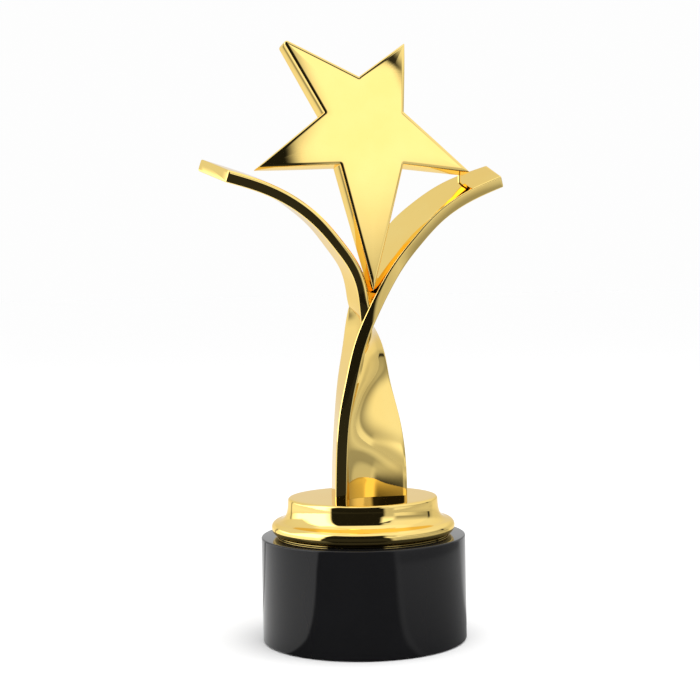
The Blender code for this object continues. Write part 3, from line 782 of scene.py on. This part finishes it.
def set_stops(ramp, pairs):
    """Give a colour ramp grey stops; the first and last pair reuse the ramp's own two."""
    stops = ramp.color_ramp.elements
    for position, _ in pairs[1:-1]:
        stops.new(position)
    for stop, (position, grey) in zip(stops, pairs):
        stop.position = position
        stop.color = (grey, grey, grey, 1.0)


def degrees(nodes, angle):
    return nodes.math("MULTIPLY", angle, 180.0 / math.pi)


def surround(nodes, x, y):
    """Brightness of the set towards (x, y), and the angle to the right of the camera, in degrees."""
    angle = nodes.math("ARCTAN2", x, nodes.math("MULTIPLY", y, -1.0))
    shifted = nodes.math("ADD", degrees(nodes, angle), 180.0 - CAMERA_AZIMUTH)
    around = nodes.math("FLOORED_MODULO", shifted, 360.0)
    ramp = nodes.add("ShaderNodeValToRGB", {"Fac": nodes.math("DIVIDE", around, 360.0)})
    set_stops(ramp, [((where + 180.0) / 360.0, level / SURROUND_PEAK) for where, level in SURROUND])
    level = nodes.math("MULTIPLY", ramp.outputs["Color"], SURROUND_PEAK)
    return level, nodes.math("SUBTRACT", around, 180.0)


def make_world():
    """The studio's set, which only glossy rays see; all other rays see a plain white one."""
    world = bpy.data.worlds.new("studio")
    scene.world = world
    world.use_nodes = True
    nodes = Nodes(world.node_tree)
    direction = nodes.add("ShaderNodeTexCoord").outputs["Generated"]
    parts = nodes.add("ShaderNodeSeparateXYZ", {"Vector": direction}).outputs
    level, turn = surround(nodes, parts["X"], parts["Y"])
    rise = degrees(nodes, nodes.math("ARCSINE", parts["Z"]))

    right = nodes.math("MULTIPLY", nodes.band(turn, RIGHT_TURNS), nodes.ramp(rise, *RIGHT_RISE))
    level = nodes.mix(right, level, WALL_LEVEL_ABOVE)
    behind = nodes.ramp(nodes.math("ABSOLUTE", turn), *BACK_TURNS)
    back = nodes.math("MULTIPLY", behind, nodes.ramp(rise, *BACK_RISE))
    level = nodes.mix(back, level, WALL_LEVEL_ABOVE)
    pane = nodes.math("MULTIPLY", nodes.band(turn, PANE_TURNS), nodes.ramp(rise, *PANE_RISE))
    level = nodes.mix(pane, level, nodes.ramp(rise, *PANE_LEVELS))
    corner = nodes.math("MULTIPLY", nodes.ramp(turn, *CORNER_TURNS), nodes.ramp(rise, *CORNER_RISE))
    level = nodes.mix(corner, level, CORNER_LEVEL)

    lean = nodes.math("MULTIPLY", nodes.math("ADD", turn, -CARD_MIDDLE), CARD_SLOPE)
    slant = nodes.math("ADD", rise, lean)
    dark = nodes.math("MULTIPLY", nodes.band(turn, FRAME_TURNS), nodes.ramp(rise, *FRAME_TOP))
    dark = nodes.math("MULTIPLY", dark, nodes.ramp(slant, *FRAME_FOOT))
    level = nodes.mix(dark, level, FRAME_LEVEL)
    stepped = nodes.math("ADD", turn, nodes.ramp(rise, *CARD_FOOT))
    left_edge, left_full, right_full, right_edge = CARD_TURNS
    card = nodes.math("MULTIPLY", nodes.ramp(stepped, left_edge, left_full),
                      nodes.ramp(turn, right_edge, right_full))
    card = nodes.math("MULTIPLY", card, nodes.ramp(slant, *CARD_TOP))
    card = nodes.math("MULTIPLY", card, nodes.ramp(rise, *CARD_RISE))
    level = nodes.mix(card, level, nodes.ramp(rise, *CARD_LEVELS))
    level = nodes.mix(nodes.ramp(rise, *OVERHEAD_RISE), level, OVERHEAD_LEVEL)

    rays = nodes.add("ShaderNodeLightPath").outputs
    plain = nodes.mix(rays["Is Camera Ray"], 1.0, BACKDROP_LEVEL)
    background = world.node_tree.nodes["Background"]
    link(nodes, nodes.mix(rays["Is Glossy Ray"], plain, level), background, "Strength")
    background.inputs["Color"].default_value = (1.0, 1.0, 1.0, 1.0)


# Painted shade: the floor's brightness in reflections on the right, by distance from the trophy in metres.
FLOOR_LEVELS = (
    (0.0, 0.20), (0.12, 0.36), (0.22, 0.48), (0.28, 0.45),
    (0.33, 0.26), (0.48, 0.28), (0.62, 0.46), (0.85, 0.60),
)
FLOOR_REACH = 2.0                   # distance at the end of the colour ramp
FLOOR_TURNS = (30.0, 40.0, 120.0, 135.0)
FLOOR_RADIUS = 40.0


def make_floor():
    """A pale round floor; in reflections it carries painted shade that takes the brightness of the set
    standing over it.
    """
    bm = bmesh.new()
    bmesh.ops.create_circle(bm, cap_ends=True, segments=96, radius=FLOOR_RADIUS)
    mesh = bpy.data.meshes.new("floor")
    bm.to_mesh(mesh)
    bm.free()
    material, nodes, shader = new_material("pale_floor")
    shader.inputs["Base Color"].default_value = (0.985, 0.985, 0.985, 1.0)
    shader.inputs["Roughness"].default_value = 0.9
    shader.inputs["Specular IOR Level"].default_value = 0.0
    floor = add_object("floor", mesh, material)
    place = nodes.add("ShaderNodeNewGeometry").outputs["Position"]
    parts = nodes.add("ShaderNodeSeparateXYZ", {"Vector": place}).outputs
    level, turn = surround(nodes, parts["X"], parts["Y"])
    distance = nodes.add("ShaderNodeVectorMath", {0: place}, operation="LENGTH").outputs["Value"]
    painted_floor_level = nodes.add("ShaderNodeValToRGB", {"Fac": nodes.math("DIVIDE", distance, FLOOR_REACH)})
    set_stops(painted_floor_level, [(away / FLOOR_REACH, grey) for away, grey in FLOOR_LEVELS])
    level = nodes.mix(nodes.band(turn, FLOOR_TURNS), level, painted_floor_level.outputs["Color"])
    # Painted shade: glossy rays see the floor blended towards a near-black diffuse by how far its level falls
    # short of 1.
    painted_shade = nodes.math("SUBTRACT", 1.0, nodes.math("MINIMUM", level, 1.0))
    rays = nodes.add("ShaderNodeLightPath").outputs
    dark = nodes.math("MULTIPLY", painted_shade, rays["Is Glossy Ray"])
    # The near-black diffuse that paints the shade on the floor in reflections.
    black = nodes.add("ShaderNodeBsdfDiffuse", {"Color": (0.01, 0.01, 0.01, 1.0)})
    blend = nodes.add("ShaderNodeMixShader", {0: dark, 1: shader.outputs[0], 2: black.outputs[0]})
    link(nodes, blend.outputs[0], material.node_tree.nodes["Material Output"], "Surface")


LAMP_PLACE = Vector((0.15, -0.25, 1.3))
LAMP_AIM = Vector((0.0, 0.0, 0.1))
LAMP_SIZE = 0.9
LAMP_POWER = 6.0                    # W


def make_lamp():
    """A soft disc of light from above, unseen in reflections."""
    lamp = bpy.data.lights.new("top_light", "AREA")
    lamp.shape = "DISK"
    lamp.size = LAMP_SIZE
    lamp.energy = LAMP_POWER
    obj = bpy.data.objects.new("top_light", lamp)
    obj.location = LAMP_PLACE
    obj.rotation_euler = (LAMP_AIM - LAMP_PLACE).to_track_quat("-Z", "Y").to_euler()
    obj.visible_glossy = False
    scene.collection.objects.link(obj)


# ---- assembly ---------------------------------------------------------------------------------------------
scene.view_settings.view_transform = "Standard"
gold = gold_material()
black = black_material()
steel = steel_material()
felt = felt_material()
foam = foam_material()
left_plate, right_plate = make_ribbons(gold)
pieces = (
    (left_plate, "left_ribbon", "gold_plating"),
    (right_plate, "right_ribbon", "gold_plating"),
    (make_star(gold), "star", "gold_plating"),
    (make_collar(gold), "collar", "gold_plating"),
    (make_base(black), "black_base", "black_gloss"),
)
for piece, node, slot in pieces:
    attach(piece, "root")
    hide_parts(node)

carried = {"felt_pad": felt, "base_gasket": foam, "crossing_pin": gold, "star_arm_pin": gold}
replaced = {node for _, node, _ in pieces}
for node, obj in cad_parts.items():
    if node not in replaced:
        obj.material_slots[0].material = carried.get(node, steel)

make_camera()
make_world()
make_floor()
make_lamp()
